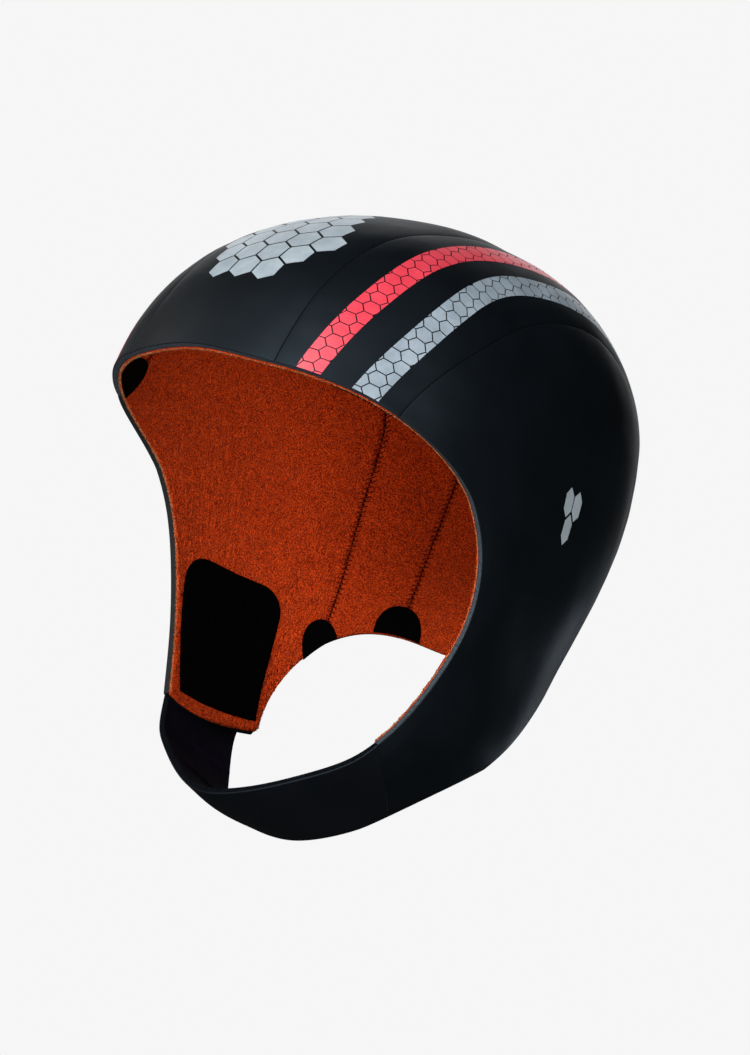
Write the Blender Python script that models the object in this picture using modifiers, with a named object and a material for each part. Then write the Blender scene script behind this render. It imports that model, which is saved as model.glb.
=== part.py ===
"""Neoprene swim cap: five glued panels, a pile lining, a chin strap and its pads.

Metres, +Z up. The face looks along -Y, and the wearer's left is +X.
The origin is the crown's inner face, where the cap sits on a head.

The cap's outer face is one rounded form. A direction from the form's centre
names a point on it, so rims and seams are curves of directions, and a panel
is the patch between two seams and two rims, thickened inwards.
"""
import math

import bpy
import numpy as np

# Driving dimensions of the worn cap, from the form's centre between the ears.
HALF_WIDTH = 0.0814
FACE_REACH = 0.1010
BACK_REACH = 0.1025
CROWN_RISE = 0.0918
CHIN_DROP = 0.1250

# Walls and clearances.
SHELL_WALL = 0.0024
LINING_WALL = 0.0010
STRAP_WALL = 0.0024
PAD_WALL = 0.0010
PATCH_WALL = 0.0006
LAYER_GAP = 0.0003
SEAM_GAP = 0.0005
FACET_SAG = 0.0005
PAD_DEPTH = SHELL_WALL + 2 * LAYER_GAP + LINING_WALL + FACET_SAG

# Sizes of the strap and the pads, and the width and depth of the tabs over the
# seam ends.
STRAP_WIDTH = 0.0360
PAD_LENGTH = 0.0300
PATCH_LENGTH = 0.0550
PATCH_CORNER = 0.0110
TAB_INSET = 0.0007
TEMPLE_TAB = (0.0200, 0.0165)
NAPE_TAB_INNER = (0.0220, 0.0105)
NAPE_TAB_OUTER = (0.0150, 0.0092)

# The form: level (-1 chin, 0 ears, 1 crown), then the width, front and back
# of that level as shares of HALF_WIDTH, FACE_REACH and BACK_REACH.
LEVELS = (
    (-1.00, 1.14, 1.19, 0.39),
    (-0.80, 1.16, 1.13, 0.49),
    (-0.60, 1.05, 1.05, 0.61),
    (-0.35, 1.01, 0.95, 0.82),
    (0.00, 1.00, 1.00, 1.00),
    (0.40, 1.10, 0.97, 0.98),
    (0.75, 1.23, 0.945, 0.91),
    (1.00, 1.33, 0.99, 0.80),
)
FRONT_SQUARENESS = 2.03
BACK_SQUARENESS = 2.6

# The face rim: roll round the face axis from the brow (0), and half-angle.
FACE_AXIS = -10.0
FACE_RIM = (
    (0.0, 45.5),
    (22.0, 47.0),
    (45.0, 54.5),
    (70.0, 68.0),
    (95.0, 77.0),
    (120.0, 65.5),
    (145.0, 50.0),
)

# The neck rim: azimuth round the neck axis from the nape (0), and half-angle.
NECK_AXIS = -92.0
NECK_RIM = (
    (0.0, 52.5),
    (25.0, 55.0),
    (50.0, 54.5),
    (80.0, 42.5),
    (110.0, 32.0),
    (140.0, 13.5),
)

# The seams: pitch over the crown (90 at the top), then how far the inner and
# the outer seam lie to the side, in degrees.
SEAMS = (
    (45.0, 21.5, 54.5),
    (75.0, 19.5, 55.5),
    (105.0, 21.0, 51.0),
    (135.0, 23.0, 45.5),
    (165.0, 23.0, 44.5),
    (195.0, 27.0, 48.2),
    (215.0, 22.0, 44.0),
)

# Where the side panels end: roll on the face rim and azimuth on the neck rim.
STRAP_JOINT = (133.5, 122.5)
FLAP_END = (129.0, 94.0)

# The free stretch of the strap, from the left joint to the right flap: the
# front edge as shares of HALF_WIDTH, FACE_REACH and CHIN_DROP, then the way
# across to the rear edge as shares of STRAP_WIDTH.
STRAP_SECTIONS = (
    (0.575, -0.535, -0.714, -0.42, 0.67, -0.75),
    (0.42, -0.64, -0.755, -0.13, 0.76, -0.65),
    (0.20, -0.74, -0.793, -0.05, 0.70, -0.60),
    (0.00, -0.78, -0.805, -0.07, 0.74, -0.50),
    (-0.21, -0.74, -0.775, -0.09, 0.72, -0.52),
    (-0.46, -0.62, -0.73, 0.04, 0.74, -0.62),
)
STRAP_CROWN = 0.035

# The strap on the right flap: how far up the panel each section lies, and how
# far its front edge stands back from the face rim, as shares of STRAP_WIDTH.
FLAP_SECTIONS = (
    (-0.02, 0.16),
    (0.36, 0.20),
    (0.80, 0.21),
    (1.10, 0.21),
)

# The patch inside the right flap: the spot on the flap it is laid out from,
# as height above the flap's end and length behind the face rim, then its
# corners, rearward and up from that spot, as shares of PATCH_LENGTH.
PATCH_SPOT = (0.0330, 0.0300)
PATCH_CORNERS = (
    (-0.66, -0.21),
    (0.01, -0.535),
    (-0.21, 0.69),
    (0.59, 0.26),
)

# The middle of the temple tabs on the face rim, in degrees of roll.
TEMPLE_TAB_ROLL = 58.5

# Steps of the faceted surfaces.
STEPS_ALONG = 24
STEPS_CROWN = 8
STEPS_STRIPE = 4
STEPS_SIDE = 12
STEPS_STRAP = (36, 4)
STEPS_PAD = (6, 6)
STEPS_TAB = (5, 8)
STEPS_PATCH = 11
STEPS_FLAP = 48
STEPS_LEAD = 2
TAB_SWEEP = 0.94
SEARCH_STEPS = 40
STEER_STEPS = 4
SEARCH_MARGIN = 20.0
OVER_FACE = 90.0
OVER_NAPE = 120.0
TILT = 0.002
SIDEWAYS = (0.13, 0.27, 0.95)

# Colours are linear RGB.
NEOPRENE = (0.0065, 0.0080, 0.0100)
STRAP_BLACK = (0.0050, 0.0052, 0.0062)
PILE_ORANGE = (0.2600, 0.0420, 0.0075)
PATCH_BLACK = (0.0020, 0.0020, 0.0022)


def spline(stations, values, at):
    """Smooth curve through the values, natural at both ends."""
    x = np.array(stations, float)
    y = np.array(values, float)
    gaps = np.diff(x)
    count = len(x)
    matrix = np.eye(count)
    right = np.zeros(count)
    for i in range(1, count - 1):
        matrix[i, i - 1:i + 2] = gaps[i - 1], 2 * (gaps[i - 1] + gaps[i]), gaps[i]
        right[i] = 6 * ((y[i + 1] - y[i]) / gaps[i] - (y[i] - y[i - 1]) / gaps[i - 1])
    bend = np.linalg.solve(matrix, right)
    at = np.asarray(at, float)
    i = np.clip(np.searchsorted(x, at) - 1, 0, count - 2)
    low = (x[i + 1] - at) / gaps[i]
    high = 1 - low
    curved = (low ** 3 - low) * bend[i] + (high ** 3 - high) * bend[i + 1]
    return low * y[i] + high * y[i + 1] + curved * gaps[i] ** 2 / 6


def mirrored(table, at):
    """The table's second column at +-at, even about zero."""
    rows = [(-station, value) for station, value in table[:0:-1]] + list(table)
    stations, values = zip(*rows)
    return spline(stations, values, at)


def unit(vectors):
    return vectors / np.linalg.norm(vectors, axis=-1)[..., None]


def mix(a, b, share):
    return a + (b - a) * share


def form(way):
    """Points of the outer face in the given directions."""
    level, width, front, back = zip(*LEVELS)
    height = way[..., 2]
    half = spline(level, width, height) * HALF_WIDTH
    face = spline(level, front, height) * FACE_REACH
    nape = spline(level, back, height) * BACK_REACH
    ahead = way[..., 1] < 0
    power = np.where(ahead, FRONT_SQUARENESS, BACK_SQUARENESS)
    level_radius = np.hypot(way[..., 0], way[..., 1]) + 1e-12
    corner = (np.abs(way[..., 0]) ** power + np.abs(way[..., 1]) ** power + 1e-30) ** (1 / power)
    bulge = level_radius / corner
    x = way[..., 0] * bulge * half
    y = way[..., 1] * bulge * np.where(ahead, face, nape)
    z = height * np.where(height > 0, CROWN_RISE, CHIN_DROP)
    return np.stack([x, y, z], -1)


def slopes(way):
    """Two turns of a direction, and how fast the form's point moves with each."""
    first = unit(np.cross(way, np.array(SIDEWAYS)))
    pairs = []
    for turn in (first, np.cross(way, first)):
        ahead = form(unit(way + TILT * turn))
        behind = form(unit(way - TILT * turn))
        pairs.append((turn, (ahead - behind) / (2 * TILT)))
    return pairs


def steer(way, moves):
    """The directions whose points come nearest to the way's point plus moves."""
    target = form(way) + moves
    reached = np.broadcast_to(way, target.shape)
    for _ in range(STEER_STEPS):
        (first, across), (second, along) = slopes(reached)
        inverse = np.linalg.pinv(np.stack([across, along], -1))
        shares = inverse @ (target - form(reached))[..., None]
        reached = unit(reached + shares[..., 0, :] * first + shares[..., 1, :] * second)
    return reached


def normal(way):
    """Outward normals of the form."""
    (_, across), (_, along) = slopes(way)
    out = unit(np.cross(across, along))
    return out * np.sign((out * form(way)).sum(-1))[..., None]


def layer(way, lift):
    """Points that stand off the outer face by lift, inwards where negative."""
    return form(way) + lift * normal(way)


def ring_frame(axis, sign):
    tilt = math.radians(axis)
    ahead = np.array([0.0, -math.cos(tilt), math.sin(tilt)])
    start = sign * np.array([0.0, math.sin(tilt), math.cos(tilt)])
    return ahead, start


def on_ring(axis, sign, turn, half_angle):
    """Directions at a turn and a half-angle round a ring's axis."""
    ahead, start = ring_frame(axis, sign)
    turn = np.radians(turn)[..., None]
    half = np.radians(half_angle)[..., None]
    radial = np.cos(turn) * start + np.sin(turn) * np.array([1.0, 0.0, 0.0])
    return np.cos(half) * ahead + np.sin(half) * radial


def face_rim(roll):
    roll = np.asarray(roll, float)
    return on_ring(FACE_AXIS, 1, roll, mirrored(FACE_RIM, roll))


def neck_rim(azimuth):
    azimuth = np.asarray(azimuth, float)
    return on_ring(NECK_AXIS, -1, azimuth, mirrored(NECK_RIM, azimuth))


def turn_and_excess(way, axis, sign, table):
    """The turn of a direction round a ring's axis, and how far outside it lies."""
    ahead, start = ring_frame(axis, sign)
    turn = np.degrees(np.arctan2(way[..., 0], way @ start))
    half = np.degrees(np.arccos(np.clip(way @ ahead, -1, 1)))
    return turn, half - mirrored(table, turn)


def seam(column, pitch, shift=0.0):
    """Directions along a seam: column 1 or 2, negative on the right side."""
    stations = [row[0] for row in SEAMS]
    side = math.copysign(1, column)
    lean = spline(stations, [row[abs(column)] for row in SEAMS], pitch)
    lean = np.radians(lean) * side + shift / HALF_WIDTH
    pitch = np.radians(pitch)
    forward = np.cos(lean) * np.cos(pitch)
    return np.stack([np.sin(lean), -forward, np.cos(lean) * np.sin(pitch)], -1)


def seam_span(column, shift=0.0):
    """The pitches at which a seam meets the face rim and the neck rim."""
    span = []
    for low, high, axis, sign, table in (
        (SEAMS[0][0] - SEARCH_MARGIN, OVER_FACE, FACE_AXIS, 1, FACE_RIM),
        (SEAMS[-1][0] + SEARCH_MARGIN, OVER_NAPE, NECK_AXIS, -1, NECK_RIM),
    ):
        for _ in range(SEARCH_STEPS):
            middle = (low + high) / 2
            way = seam(column, np.array([middle]), shift)
            if turn_and_excess(way, axis, sign, table)[1][0] > 0:
                high = middle
            else:
                low = middle
        span.append((low + high) / 2)
    return span


def coons(front, rear, first, last):
    """Directions inside four edges: front and rear run across, first and last along."""
    u = np.linspace(0, 1, len(first))[:, None, None]
    v = np.linspace(0, 1, len(front))[None, :, None]
    across = mix(front[None], rear[None], u)
    along = mix(first[:, None], last[:, None], v)
    corners = mix(mix(front[0], front[-1], v), mix(rear[0], rear[-1], v), u)
    return unit(across + along - corners)


def end_line(roll, azimuth):
    """Directions from the face rim straight to the neck rim."""
    share = np.linspace(0, 1, STEPS_ALONG + 1)[:, None]
    return unit(mix(face_rim(roll), neck_rim(azimuth), share))


def panel(edge_a, edge_b, steps):
    """Directions over a panel between two seams, or a seam and an end line.

    An edge is (seam column, shift), or (None, (roll, azimuth)) for an end line.
    """
    rims = []
    lines = []
    for column, place in (edge_a, edge_b):
        if column is None:
            roll, azimuth = place
            line = end_line(roll, azimuth)
        else:
            pitches = seam_span(column, place)
            line = seam(column, np.linspace(*pitches, STEPS_ALONG + 1), place)
            roll = turn_and_excess(line[0], FACE_AXIS, 1, FACE_RIM)[0]
            azimuth = turn_and_excess(line[-1], NECK_AXIS, -1, NECK_RIM)[0]
        rims.append((roll, azimuth))
        lines.append(line)
    share = np.linspace(0, 1, steps + 1)
    front = face_rim(mix(rims[0][0], rims[1][0], share))
    rear = neck_rim(mix(rims[0][1], rims[1][1], share))
    return coons(front, rear, lines[0], lines[1])


def material(name, colour, roughness, sheen=0.0):
    made = bpy.data.materials.new(name)
    made.use_nodes = True
    shader = made.node_tree.nodes["Principled BSDF"]
    shader.inputs["Base Color"].default_value = (*colour, 1.0)
    shader.inputs["Roughness"].default_value = roughness
    shader.inputs["Metallic"].default_value = 0.0
    shader.inputs["Sheen Weight"].default_value = sheen
    return made


def sheet(name, points, wall, finish, collection):
    """An open grid of points, thickened inwards by wall (outwards if negative)."""
    rows, columns = points.shape[:2]
    shifted = points - np.array([0.0, 0.0, CROWN_RISE - SHELL_WALL - LAYER_GAP - LINING_WALL])
    index = np.arange(rows * columns).reshape(rows, columns)
    corners = np.stack([index[:-1, :-1], index[1:, :-1], index[1:, 1:], index[:-1, 1:]], -1)
    quads = corners.reshape(-1, 4)
    a, b, _, d = [points.reshape(-1, 3)[quads[:, k]] for k in range(4)]
    facing = (np.cross(b - a, d - a) * (a + b)).sum()
    if facing < 0:
        quads = quads[:, ::-1]
    mesh = bpy.data.meshes.new(name)
    mesh.from_pydata(shifted.reshape(-1, 3).tolist(), [], quads.tolist())
    mesh.shade_smooth()
    thing = bpy.data.objects.new(name, mesh)
    collection.objects.link(thing)
    mesh.materials.append(finish)
    solid = thing.modifiers.new("wall", "SOLIDIFY")
    solid.thickness = abs(wall)
    solid.offset = -math.copysign(1, wall)
    solid.use_even_offset = True
    return thing


def side_edges(side):
    """The edges of a side panel: side is 1 on the left and -1 on the right."""
    if side > 0:
        end = STRAP_JOINT
    else:
        end = (-FLAP_END[0], -FLAP_END[1])
    return (2 * side, side * SEAM_GAP / 2), (None, end)


def panels():
    """Each panel's name stem and its grid of directions."""
    half_gap = SEAM_GAP / 2
    yield "crown", panel((-1, half_gap), (1, -half_gap), STEPS_CROWN)
    for side, word in ((1, "left"), (-1, "right")):
        inner = (side, side * half_gap)
        outer = (2 * side, -side * half_gap)
        yield "stripe_" + word, panel(inner, outer, STEPS_STRIPE)
        yield "side_" + word, panel(*side_edges(side), STEPS_SIDE)


def build_panels(collection, shell, pile):
    for stem, ways in panels():
        sheet(stem + "_panel", form(ways), SHELL_WALL, shell, collection)
        lining = layer(ways, -SHELL_WALL - LAYER_GAP)
        sheet(stem + "_lining", lining, LINING_WALL, pile, collection)


class Flap:
    """The lower end of the right side panel, addressed by lengths on it."""

    def __init__(self):
        self.ways = panel(*side_edges(-1), STEPS_FLAP)
        middle = form(self.ways[STEPS_ALONG // 2])
        steps = np.linalg.norm(np.diff(middle, axis=0), axis=1)[::-1]
        self.rises = np.concatenate([[0.0], np.cumsum(steps)])

    def row(self, rise):
        """Directions across the panel at a height above its lower end."""
        columns = self.ways.shape[1]
        slope = self.rises[1] - self.rises[0]
        if rise < 0:
            place = rise / slope
        else:
            place = float(np.interp(rise, self.rises, np.arange(columns)))
        whole = min(max(int(place), 0), columns - 2)
        lower = self.ways[:, columns - 1 - whole]
        upper = self.ways[:, columns - 2 - whole]
        return unit(mix(lower, upper, place - whole))

    def across(self, rise, lengths, lift):
        """Points at lengths behind the face rim, on the row at rise."""
        row = self.row(rise)
        run = np.linalg.norm(np.diff(form(row), axis=0), axis=1)
        run = np.concatenate([[0.0], np.cumsum(run)])
        at = np.interp(lengths, run, np.arange(len(run)))
        whole = np.minimum(at.astype(int), len(run) - 2)
        ways = unit(mix(row[whole], row[whole + 1], (at - whole)[:, None]))
        return layer(ways, lift)

    def spot(self, rise, length):
        """The direction at a length behind the face rim, on the row at rise."""
        point = self.across(rise, np.array([length]), 0.0)[0]
        row = self.row(rise)
        return row[np.argmin(np.linalg.norm(form(row) - point, axis=1))]

    def width(self, rise):
        return np.linalg.norm(np.diff(form(self.row(rise)), axis=0), axis=1).sum()


def strap_sections():
    """Rows of points across the strap, from inside the left panel to its tip."""
    share = np.linspace(0, 1, STEPS_STRAP[1] + 1)
    left = panel(*side_edges(1), STEPS_SIDE)
    rows = []
    at = (share * STEPS_ALONG).astype(int)
    for column in (-1 - STEPS_LEAD, -1):
        rows.append(form(left[at, column]))
    scale = np.array([HALF_WIDTH, FACE_REACH, CHIN_DROP])
    for values in STRAP_SECTIONS:
        front = np.array(values[:3]) * scale
        rear = front + np.array(values[3:]) * STRAP_WIDTH
        row = mix(front, rear, share[:, None])
        out = unit(np.cross(rear - front, np.array([1.0, 0.0, 0.0])))
        out = out * np.sign(out @ row[len(row) // 2])
        arch = (1 - (2 * share - 1) ** 2)[:, None] * STRAP_CROWN * STRAP_WIDTH
        rows.append(row + arch * out)
    flap = Flap()
    lift = PAD_WALL + 2 * LAYER_GAP + STRAP_WALL
    for rise, setback in FLAP_SECTIONS:
        lengths = (setback + share) * STRAP_WIDTH
        rows.append(flap.across(rise * STRAP_WIDTH, lengths, lift))
    return np.array(rows)


def build_strap(collection, finish):
    rows = strap_sections()
    middle = rows[:, rows.shape[1] // 2]
    run = np.concatenate([[0.0], np.cumsum(np.linalg.norm(np.diff(middle, axis=0), axis=1))])
    at = np.linspace(run[1] + SEAM_GAP, run[-1], STEPS_STRAP[0] + 1)
    columns = [
        np.stack([spline(run, rows[:, k, axis], at) for axis in range(3)], -1)
        for k in range(rows.shape[1])
    ]
    sheet("chin_strap", np.stack(columns, 1), STRAP_WALL, finish, collection)


def rounded(share, corner, length):
    """How far a rounded top draws in each side, at a share of the length."""
    left = np.maximum(corner - (1 - share) * length, 0)
    return corner - np.sqrt(np.maximum(corner ** 2 - left ** 2, 0))


def build_strap_pad(collection, finish):
    """The fastening pad between the flap and the strap."""
    flap = Flap()
    margin = SEAM_GAP + LAYER_GAP + PAD_WALL
    rows = []
    for rise in np.linspace(margin, margin + PAD_LENGTH, STEPS_PAD[0] + 1):
        setback = np.interp(rise / STRAP_WIDTH, *zip(*FLAP_SECTIONS)) * STRAP_WIDTH
        last = min(setback + STRAP_WIDTH, flap.width(rise)) - margin
        lengths = np.linspace(setback + margin, last, STEPS_PAD[1] + 1)
        rows.append(flap.across(rise, lengths, LAYER_GAP))
    sheet("strap_pad", np.array(rows), -PAD_WALL, finish, collection)


def build_flap_patch(collection, finish):
    """The patch inside the right flap, with a rounded top."""
    flap = Flap()
    spot = flap.spot(*PATCH_SPOT)
    out = normal(spot)
    rearward = unit(np.cross(out, np.array([0.0, 0.0, 1.0])))
    up = np.cross(rearward, out)
    low_front, low_rear, top_front, top_rear = np.array(PATCH_CORNERS) * PATCH_LENGTH
    rows = []
    for share in np.sin(np.linspace(0, math.pi / 2, STEPS_PATCH + 1)):
        front = mix(low_front, top_front, share)
        rear = mix(low_rear, top_rear, share)
        draw = rounded(share, PATCH_CORNER, PATCH_LENGTH) * unit(rear - front)
        across = np.linspace(front + draw, rear - draw, STEPS_PAD[1] + 1)
        rows.append(steer(spot, across @ np.stack([rearward, up])))
    points = layer(np.array(rows), -PAD_DEPTH)
    sheet("flap_patch", points, PATCH_WALL, finish, collection)


def tab(rim, turn, width, depth):
    """Directions over a half-round tab, in rows that run inwards from a rim."""
    base = rim(np.array([turn - 1.0, turn, turn + 1.0]))
    tangent = (form(base[2]) - form(base[0])) / 2
    per_degree = np.linalg.norm(tangent)
    inward = unit(np.cross(normal(base)[1], tangent))
    axis = FACE_AXIS if rim is face_rim else NECK_AXIS
    inward = -inward * np.sign(inward @ ring_frame(axis, 1)[0])
    rows = []
    for share in np.sin(np.linspace(0, TAB_SWEEP, STEPS_TAB[0] + 1) * math.pi / 2):
        half = width / 2 * math.sqrt(1 - share ** 2)
        turns = turn + np.linspace(-half, half, STEPS_TAB[1] + 1) / per_degree
        step = (TAB_INSET + share * (depth - TAB_INSET)) * inward
        rows.append(steer(rim(turns), step))
    return np.array(rows)


def build_tabs(collection, finish):
    """Half-round tabs on the lining over the ends of the seams."""
    for side, word in ((1, "left"), (-1, "right")):
        places = [("temple_tab_", face_rim, side * TEMPLE_TAB_ROLL, TEMPLE_TAB)]
        for stem, column, size in (
            ("nape_tab_inner_", 1, NAPE_TAB_INNER),
            ("nape_tab_outer_", 2, NAPE_TAB_OUTER),
        ):
            pitch = seam_span(column * side)[1]
            end = seam(column * side, np.array([pitch]))[0]
            azimuth = float(turn_and_excess(end, NECK_AXIS, -1, NECK_RIM)[0])
            places.append((stem, neck_rim, azimuth, size))
        for stem, rim, turn, size in places:
            ways = tab(rim, turn, *size)
            sheet(stem + word, layer(ways, -PAD_DEPTH), PATCH_WALL, finish, collection)


def main():
    for thing in list(bpy.data.objects):
        bpy.data.objects.remove(thing, do_unlink=True)
    collection = bpy.data.collections.new("swim_cap")
    bpy.context.scene.collection.children.link(collection)
    shell = material("neoprene_skin", NEOPRENE, 0.45)
    strap = material("strap_neoprene", STRAP_BLACK, 0.5)
    pile = material("pile_lining", PILE_ORANGE, 0.95, 0.6)
    patch = material("black_patch", PATCH_BLACK, 0.9)
    build_panels(collection, shell, pile)
    build_strap(collection, strap)
    build_strap_pad(collection, patch)
    build_flap_patch(collection, patch)
    build_tabs(collection, patch)


main()
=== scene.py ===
"""Looks of the neoprene swim cap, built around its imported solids.

Metres, +Z up, the face looks along -Y. Every soft solid is replaced by a fine
mesh laid on the same rounded form: panels, pile lining, strap, tabs, patch.
"""
import math

import bpy
import numpy as np
from mathutils import Matrix, Vector


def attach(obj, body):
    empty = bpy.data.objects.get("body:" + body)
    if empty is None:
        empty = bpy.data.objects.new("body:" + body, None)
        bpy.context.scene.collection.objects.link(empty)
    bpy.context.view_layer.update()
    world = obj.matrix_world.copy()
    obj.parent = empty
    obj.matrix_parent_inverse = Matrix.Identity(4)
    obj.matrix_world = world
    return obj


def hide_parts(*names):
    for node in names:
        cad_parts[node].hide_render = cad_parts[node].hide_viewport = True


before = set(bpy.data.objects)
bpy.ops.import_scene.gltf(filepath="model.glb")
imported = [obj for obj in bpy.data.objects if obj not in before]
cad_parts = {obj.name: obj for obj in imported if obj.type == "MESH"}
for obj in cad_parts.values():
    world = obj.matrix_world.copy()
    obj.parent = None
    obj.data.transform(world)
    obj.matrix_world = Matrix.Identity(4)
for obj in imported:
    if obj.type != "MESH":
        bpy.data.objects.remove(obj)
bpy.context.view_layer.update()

MM = 0.001

# The form, the same values as the solids have.
HALF_WIDTH = 0.0814
FACE_REACH = 0.1010
BACK_REACH = 0.1025
CROWN_RISE = 0.0918
CHIN_DROP = 0.1250
SHELL_WALL = 0.0024
LINING_WALL = 0.0010
STRAP_WALL = 0.0024
PAD_WALL = 0.0010
LAYER_GAP = 0.0003
SEAM_GAP = 0.0005
STRAP_WIDTH = 0.0360
PATCH_LENGTH = 0.0550
PATCH_CORNER = 0.0110
# Felt tabs: width, depth, middle and lean along the rim towards the cap's middle,
# roundness.
TABS = {
    "temple": (0.0264, 0.0186, 0.0057, -0.0182, 1.6),
    "nape_inner": (0.0224, 0.0108, 0.0007, -0.0047, 2.4),
    "nape_outer": (0.0160, 0.0092, 0.0008, 0.0035, 2.4),
}
CENTRE_DROP = CROWN_RISE - SHELL_WALL - LAYER_GAP - LINING_WALL
LEVELS = (
    (-1.00, 1.14, 1.19, 0.39),
    (-0.80, 1.16, 1.13, 0.49),
    (-0.60, 1.05, 1.05, 0.61),
    (-0.35, 1.01, 0.95, 0.82),
    (0.00, 1.00, 1.00, 1.00),
    (0.40, 1.10, 0.97, 0.98),
    (0.75, 1.23, 0.945, 0.91),
    (1.00, 1.33, 0.99, 0.80),
)
FRONT_SQUARENESS = 2.03
BACK_SQUARENESS = 2.6
FACE_AXIS = -10.0
FACE_RIM = ((0.0, 45.5), (22.0, 47.0), (45.0, 54.5), (70.0, 68.0), (95.0, 77.0),
            (120.0, 65.5), (145.0, 50.0))
NECK_AXIS = -92.0
NECK_RIM = ((0.0, 52.5), (25.0, 55.0), (50.0, 54.5), (80.0, 42.5), (110.0, 32.0),
            (140.0, 13.5))
SEAMS = (
    (45.0, 21.5, 54.5),
    (75.0, 19.5, 55.5),
    (105.0, 21.0, 51.0),
    (135.0, 23.0, 45.5),
    (165.0, 23.0, 44.5),
    (195.0, 27.0, 48.2),
    (215.0, 22.0, 44.0),
)
STRAP_JOINT = (133.5, 122.5)
FLAP_END = (129.0, 94.0)
STRAP_SECTIONS = (
    (0.575, -0.535, -0.714, -0.42, 0.67, -0.75),
    (0.42, -0.64, -0.755, -0.13, 0.76, -0.65),
    (0.20, -0.74, -0.793, -0.05, 0.70, -0.60),
    (0.00, -0.78, -0.805, -0.07, 0.74, -0.50),
    (-0.21, -0.74, -0.775, -0.09, 0.72, -0.52),
    (-0.46, -0.62, -0.73, 0.04, 0.74, -0.62),
)
STRAP_CROWN = 0.035
FLAP_SECTIONS = ((-0.02, 0.16), (0.36, 0.20), (0.80, 0.21), (1.10, 0.21))
PATCH_SPOT = (0.0330, 0.0300)
PATCH_CORNERS = ((-0.685, -0.235), (0.035, -0.565), (-0.21, 0.69), (0.59, 0.26))
TEMPLE_TAB_ROLL = 58.5
TILT = 0.002
SIDEWAYS = (0.13, 0.27, 0.95)

# Stripe bands: middle of each across the panel, by share of the panel's length.
BAND_WIDTH = 9.4 * MM
BAND_INSET = 0.0004
RED_SLIP = {"left": 0.0, "right": 0.24}
SLIP_FADE = 0.32
RED_MIDDLE = ((0.0, 0.287), (0.14, 0.342), (0.27, 0.317), (0.40, 0.285), (0.6, 0.30),
              (1.0, 0.30))
GREY_MIDDLE = ((0.0, 0.728), (0.10, 0.744), (0.21, 0.710), (0.345, 0.657), (0.47, 0.69),
               (0.62, 0.70), (1.0, 0.70))


def spline(stations, values, at):
    """Smooth curve through the values, natural at both ends."""
    x = np.array(stations, float)
    y = np.array(values, float)
    gaps = np.diff(x)
    count = len(x)
    matrix = np.eye(count)
    right = np.zeros(count)
    for i in range(1, count - 1):
        matrix[i, i - 1:i + 2] = gaps[i - 1], 2 * (gaps[i - 1] + gaps[i]), gaps[i]
        right[i] = 6 * ((y[i + 1] - y[i]) / gaps[i] - (y[i] - y[i - 1]) / gaps[i - 1])
    bend = np.linalg.solve(matrix, right)
    at = np.asarray(at, float)
    i = np.clip(np.searchsorted(x, at) - 1, 0, count - 2)
    low = (x[i + 1] - at) / gaps[i]
    high = 1 - low
    curved = (low ** 3 - low) * bend[i] + (high ** 3 - high) * bend[i + 1]
    return low * y[i] + high * y[i + 1] + curved * gaps[i] ** 2 / 6


def mirrored(table, at):
    rows = [(-station, value) for station, value in table[:0:-1]] + list(table)
    stations, values = zip(*rows)
    return spline(stations, values, at)


def unit(vectors):
    return vectors / np.linalg.norm(vectors, axis=-1)[..., None]


def mix(a, b, share):
    return a + (b - a) * share


def form(way):
    """Points of the outer face in the given directions, about the form's centre."""
    level, width, front, back = zip(*LEVELS)
    height = way[..., 2]
    half = spline(level, width, height) * HALF_WIDTH
    face = spline(level, front, height) * FACE_REACH
    nape = spline(level, back, height) * BACK_REACH
    ahead = way[..., 1] < 0
    power = np.where(ahead, FRONT_SQUARENESS, BACK_SQUARENESS)
    level_radius = np.hypot(way[..., 0], way[..., 1]) + 1e-12
    corner = np.abs(way[..., 0]) ** power + np.abs(way[..., 1]) ** power
    corner = (corner + 1e-30) ** (1 / power)
    bulge = level_radius / corner
    x = way[..., 0] * bulge * half
    y = way[..., 1] * bulge * np.where(ahead, face, nape)
    z = height * np.where(height > 0, CROWN_RISE, CHIN_DROP)
    return np.stack([x, y, z], -1)


def slopes(way):
    first = unit(np.cross(way, np.array(SIDEWAYS)))
    pairs = []
    for turn in (first, np.cross(way, first)):
        ahead = form(unit(way + TILT * turn))
        behind = form(unit(way - TILT * turn))
        pairs.append((turn, (ahead - behind) / (2 * TILT)))
    return pairs


def steer(way, moves, steps=4):
    """The directions whose points come nearest to the way's point plus moves."""
    target = form(way) + moves
    reached = np.broadcast_to(way, target.shape)
    for _ in range(steps):
        (first, across), (second, along) = slopes(reached)
        inverse = np.linalg.pinv(np.stack([across, along], -1))
        shares = inverse @ (target - form(reached))[..., None]
        reached = unit(reached + shares[..., 0, :] * first + shares[..., 1, :] * second)
    return reached


def normal(way):
    (_, across), (_, along) = slopes(way)
    out = unit(np.cross(across, along))
    return out * np.sign((out * form(way)).sum(-1))[..., None]


def ring_frame(axis, sign):
    tilt = math.radians(axis)
    ahead = np.array([0.0, -math.cos(tilt), math.sin(tilt)])
    start = sign * np.array([0.0, math.sin(tilt), math.cos(tilt)])
    return ahead, start


def on_ring(axis, sign, turn, half_angle):
    ahead, start = ring_frame(axis, sign)
    turn = np.radians(turn)[..., None]
    half = np.radians(half_angle)[..., None]
    radial = np.cos(turn) * start + np.sin(turn) * np.array([1.0, 0.0, 0.0])
    return np.cos(half) * ahead + np.sin(half) * radial


def face_rim(roll):
    roll = np.asarray(roll, float)
    return on_ring(FACE_AXIS, 1, roll, mirrored(FACE_RIM, roll))


def neck_rim(azimuth):
    azimuth = np.asarray(azimuth, float)
    return on_ring(NECK_AXIS, -1, azimuth, mirrored(NECK_RIM, azimuth))


FACE = (FACE_AXIS, 1, FACE_RIM)
NECK = (NECK_AXIS, -1, NECK_RIM)


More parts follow.
